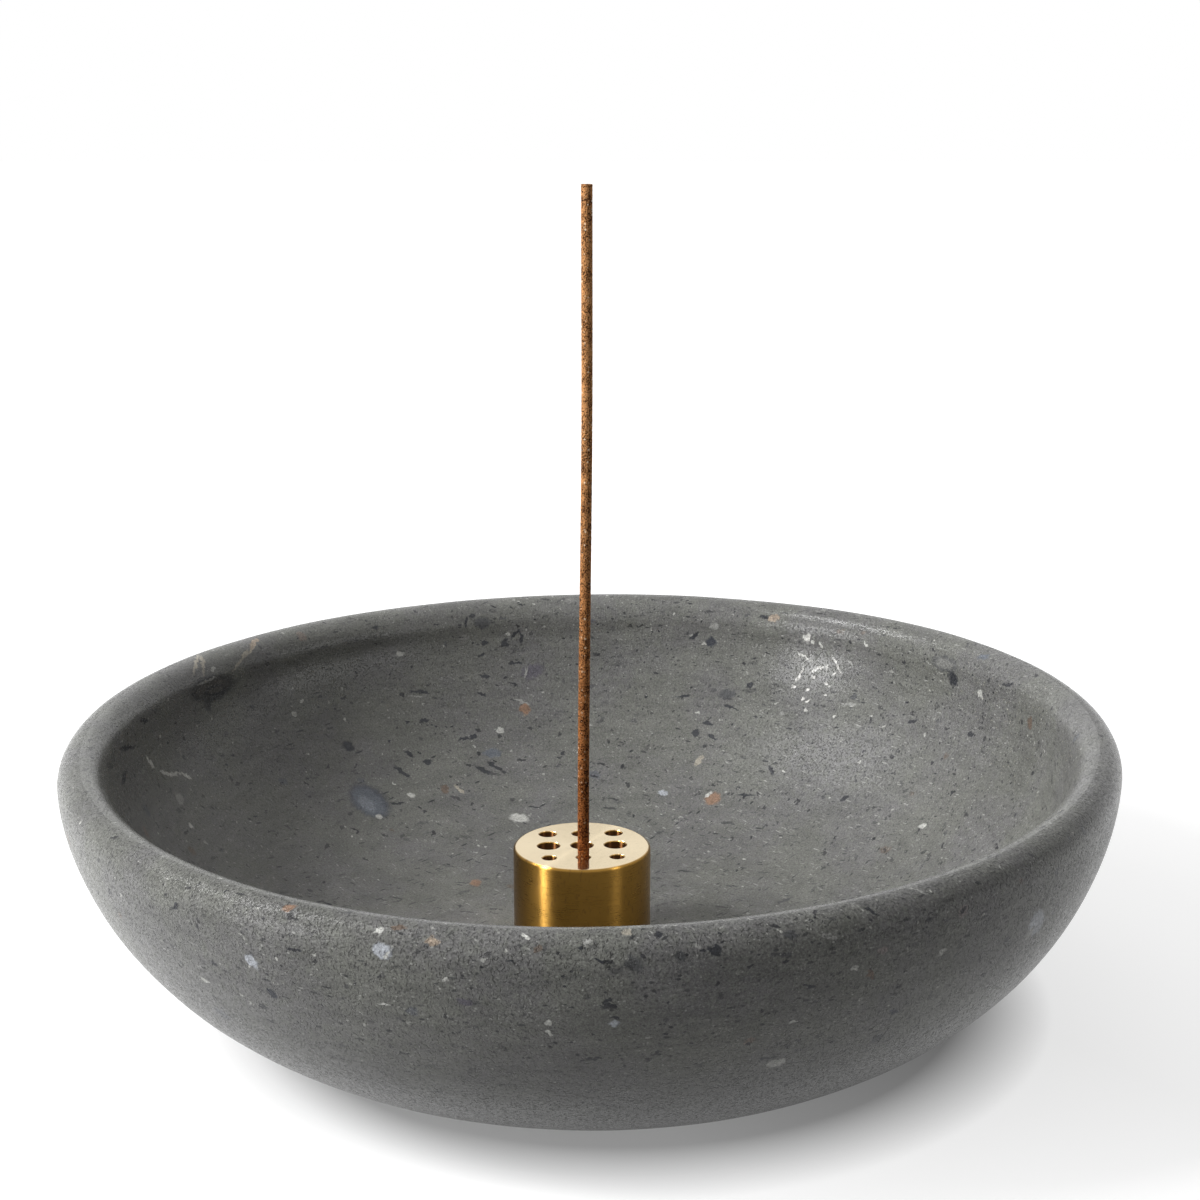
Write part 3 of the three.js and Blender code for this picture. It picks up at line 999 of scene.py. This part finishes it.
def makeBrass(look):
    material, tree, shader, place = newMaterial("turned_brass")
    low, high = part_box("stick_holder")
    axis = Vector(((low.x + high.x) / 2, (low.y + high.y) / 2, 0))
    height = addNode(tree, "SeparateXYZ", {0: place}).outputs["Z"]
    onTop = spread(tree, height, *(high.z - depth for depth in look["topDepths"]))
    turned = noise(tree, stretched(tree, place, look["turnedStretch"]), *look["turnedLines"])
    brushed = noise(tree, stretched(tree, place, look["brushedStretch"]), *look["brushedLines"])
    cloudy = noise(tree, place, *look["clouds"])
    spotty = noise(tree, stretched(tree, place, look["spotStretch"]), *look["spots"])
    offAxis = stretched(tree, vectorMaths(tree, "SUBTRACT", place, axis), (1, 1, 0))
    radius = (high.x - low.x) / 2
    insets = [radius - inset for inset in look["boreInsets"]]
    inward = spread(tree, vectorMaths(tree, "LENGTH", offAxis), *insets, 1, 0)
    below = spread(tree, height, *(high.z - depth for depth in look["boreDepths"]), 1, 0)
    inBore = maths(tree, "MULTIPLY", inward, below)
    # painted reflection: the top paler for the bright room, the side darker for the dark bowl
    colour = mixColours(tree, onTop, look["side"], look["top"])
    # painted shade in the holes
    colour = mixColours(tree, inBore, colour, look["bore"])
    stained = spread(tree, spotty, *look["spotStrength"])
    stained = maths(tree, "MULTIPLY", stained, spread(tree, cloudy, *look["spottedClouds"]))
    stained = maths(tree, "MULTIPLY", stained, spread(tree, onTop, 0, 1, 1, look["topSpots"]))
    colour = mixColours(tree, stained, colour, look["stain"])
    dull = maths(tree, "MULTIPLY", cloudy, turned)
    sideRoughness = spread(tree, dull, *look["dullClouds"], *look["sideRoughness"])
    topRoughness = spread(tree, brushed, *usualNoise, *look["topRoughness"])
    outer = addNode(tree, "Mix", {0: onTop, 2: sideRoughness, 3: topRoughness})
    mixed = addNode(tree, "Mix", {0: inBore, 2: outer.outputs[0], 3: look["boreRoughness"]})
    around = addNode(tree, "Tangent", direction_type="RADIAL", axis="Z")
    relief = addNode(tree, "Mix", {0: onTop, 2: turned, 3: brushed})
    relief = maths(tree, "MULTIPLY", relief.outputs[0], look["lineDepth"])
    fill(tree, shader, {"Base Color": colour, "Metallic": 1, "Roughness": mixed.outputs[0],
                        "Anisotropic": look["anisotropy"], "Anisotropic Rotation": look["anisotropyTurn"],
                        "Tangent": around.outputs[0], "Normal": bumped(tree, relief)})
    return material


# Incense paste

incenseLook = {
    "darkPaste": (0.075, 0.028, 0.010, 1),
    "palePaste": (0.66, 0.32, 0.125, 1),
    "creamGrain": (1.0, 0.84, 0.62, 1),
    "crack": (0.030, 0.011, 0.005, 1),
    "foot": (0.44, 0.25, 0.14, 1),  # the lower part is darker
    "footHeights": (18 * mm, 78 * mm),
    "roughness": 0.7,
    "specular": 0.07,
    # size, detail and roughness of each noise
    "fineNoise": (0.12 * mm, 1),
    "lumps": (0.2 * mm, 2, 0.6),
    "lumpStretch": (1, 1, 0.8),
    "clouds": (1.6 * mm, 1),
    "cloudShare": 0.35,
    "paleParts": (0.56, 0.76),
    "cracks": (0.6, 0.6 * mm, 0.3 * mm, 0.3),  # turn, length, width, share
    "creamGrains": (0, 0.52 * mm, 0.46 * mm, 0.4),
    "creamStrength": (0.3, 1),
    "fineDepth": 0.04,  # in millimetres
    "lumpDepth": 0.09,
    "crackDepth": 0.05,
}


def makeIncense(look):
    material, tree, shader, place = newMaterial("incense_paste")
    fine = noise(tree, place, *look["fineNoise"])
    lumps = noise(tree, stretched(tree, place, look["lumpStretch"]), *look["lumps"])
    broad = noise(tree, place, *look["clouds"])
    mixed = maths(tree, "MULTIPLY_ADD", broad, look["cloudShare"], lumps)
    colour = mixColours(tree, spread(tree, mixed, *look["paleParts"]), look["darkPaste"], look["palePaste"])
    cracks = scatter(tree, place, *look["cracks"])
    colour = mixColours(tree, cracks["Mask"], colour, look["crack"])
    cream = scatter(tree, place, *look["creamGrains"])
    creamShare = spread(tree, cream["Shade"], 0, 1, *look["creamStrength"])
    colour = mixColours(tree, maths(tree, "MULTIPLY", cream["Mask"], creamShare), colour, look["creamGrain"])
    height = addNode(tree, "SeparateXYZ", {0: place}).outputs["Z"]
    low = spread(tree, height, *look["footHeights"], 1, 0)
    colour = mixColours(tree, low, colour, look["foot"], "MULTIPLY")
    relief = maths(tree, "MULTIPLY", fine, look["fineDepth"])
    relief = maths(tree, "MULTIPLY_ADD", lumps, look["lumpDepth"], relief)
    relief = maths(tree, "SUBTRACT", relief, maths(tree, "MULTIPLY", cracks["Mask"], look["crackDepth"]))
    fill(tree, shader, {"Base Color": colour, "Roughness": look["roughness"],
                        "Specular IOR Level": look["specular"], "Normal": bumped(tree, relief)})
    return material


# Floor paint

floorLook = {
    "colour": (0.4, 0.4, 0.4, 1),
    "roughness": 0.9,
    # What the camera and reflections see of the floor besides its lit colour: less in the bowl's contact
    # shadow and on the right behind it, more far off
    "shadowMiddle": (4 * mm, 0, 0),
    "nearGlow": (50.5 * mm, 64 * mm, 0.25, 0.88),
    "farGlow": (66 * mm, 400 * mm, 0, 0.4),
    "shadeDirection": (0.8, 0.6, 0),
    "shade": (-20 * mm, 40 * mm, 0, 0.16),
}


def seenDirectly(tree):  # 1 for the camera and for reflections, 0 for soft light
    path = addNode(tree, "LightPath")
    either = maths(tree, "MAXIMUM", path.outputs["Is Camera Ray"], path.outputs["Is Glossy Ray"])
    return maths(tree, "MAXIMUM", either, path.outputs["Is Transmission Ray"])


def makeFloorPaint(look):
    material, tree, shader, place = newMaterial("pale_floor")
    distance = vectorMaths(tree, "LENGTH", vectorMaths(tree, "SUBTRACT", place, look["shadowMiddle"]))
    turnedAway = vectorMaths(tree, "DOT_PRODUCT", place, look["shadeDirection"])
    near = spread(tree, distance, *look["nearGlow"])
    far = spread(tree, distance, *look["farGlow"])
    shade = spread(tree, turnedAway, *look["shade"])
    glow = maths(tree, "SUBTRACT", maths(tree, "ADD", near, far), shade)
    seen = maths(tree, "MULTIPLY", seenDirectly(tree), glow)
    fill(tree, shader, {"Base Color": look["colour"], "Roughness": look["roughness"], "Specular IOR Level": 0,
                        "Emission Color": white, "Emission Strength": seen})
    return material


dressInSectors(bowl, stoneLook)
dress(holder, makeBrass(brassLook))
dress(stick, makeIncense(incenseLook))
dress(floor, makeFloorPaint(floorLook))
print("materials made:", len(bowl.data.materials), "sectors of stone")


# Light

lightSetup = {
    "room": 0.02,
    "onHolderOnly": ("metalStrip", "metalSideStrip"),
    "inReflectionsOnly": ("rimStrip",),  # it draws the line of light along the rim
    # degrees round from the back towards the right, degrees up, distance, width, height, power, and whether
    # the lamp shows in reflections, where the white room takes the place of the others
    "lamps": {
        "leftSoftbox": (-112, 39, 0.8, 0.2, 0.2, 5.2, False),
        "leftLowSoftbox": (-111, 15, 0.8, 0.17, 0.42, 2.6, True),
        "leftBackSoftbox": (-78, 40, 0.8, 0.22, 0.5, 1.4, False),
        "backSoftbox": (0, 20, 0.8, 1.4, 0.62, 1.3, False),
        "topSoftbox": (10, 70, 0.8, 0.9, 0.65, 2.0, False),
        "rightFill": (112, 8, 0.8, 0.7, 0.25, 0.75, True),
        "rimStrip": (-76, 50, 0.8, 0.1, 0.3, 2.2, True),
        "metalStrip": (-110, 35, 0.8, 0.07, 0.34, 9.2, True),
        "metalSideStrip": (118, 35, 0.8, 0.17, 0.34, 1.1, True),
    },
}


def lightRoom(level):
    world = bpy.data.worlds.new("room")
    bpy.context.scene.world = world
    world.use_nodes = True
    tree = world.node_tree
    strength = spread(tree, seenDirectly(tree), 0, 1, level, 1)
    tree.links.new(strength, tree.nodes["Background"].inputs["Strength"])
    tree.nodes["Background"].inputs["Color"].default_value = white


def addLamp(name, around, up, distance, width, height, power, showsInGloss):
    direction = directionOf(math.radians(around), math.radians(up))
    selectNothing()
    bpy.ops.object.light_add(type="AREA", location=direction * distance)
    lamp = bpy.context.active_object
    lamp.name = name
    lamp.data.shape = "RECTANGLE"
    lamp.data.size = width
    lamp.data.size_y = height
    lamp.data.energy = power
    lamp.rotation_euler = direction.to_track_quat("Z", "Y").to_euler()
    lamp.visible_camera = False
    lamp.visible_glossy = showsInGloss
    return lamp


def lightOnly(lamp, piece):  # a lamp that shines on one piece alone
    receivers = bpy.data.collections.new(lamp.name + "Receivers")
    receivers.objects.link(piece)
    lamp.light_linking.receiver_collection = receivers


lightRoom(lightSetup["room"])
for lampName, lampValues in lightSetup["lamps"].items():
    lamp = addLamp(lampName, *lampValues)
    lamp.visible_diffuse = lampName not in lightSetup["inReflectionsOnly"]
    if lampName in lightSetup["onHolderOnly"]:
        lightOnly(lamp, holder)
bpy.context.scene.view_settings.view_transform = "Standard"
print("lights placed")


# Pieces and bodies

for piece, body, node, slotName in (
    (bowl, "bowl", "bowl", "stone"),
    (holder, "holder", "stick_holder", "brass"),
    (stick, "stick", "incense_stick", "incense"),
):
    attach(piece, body)
    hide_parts(node)
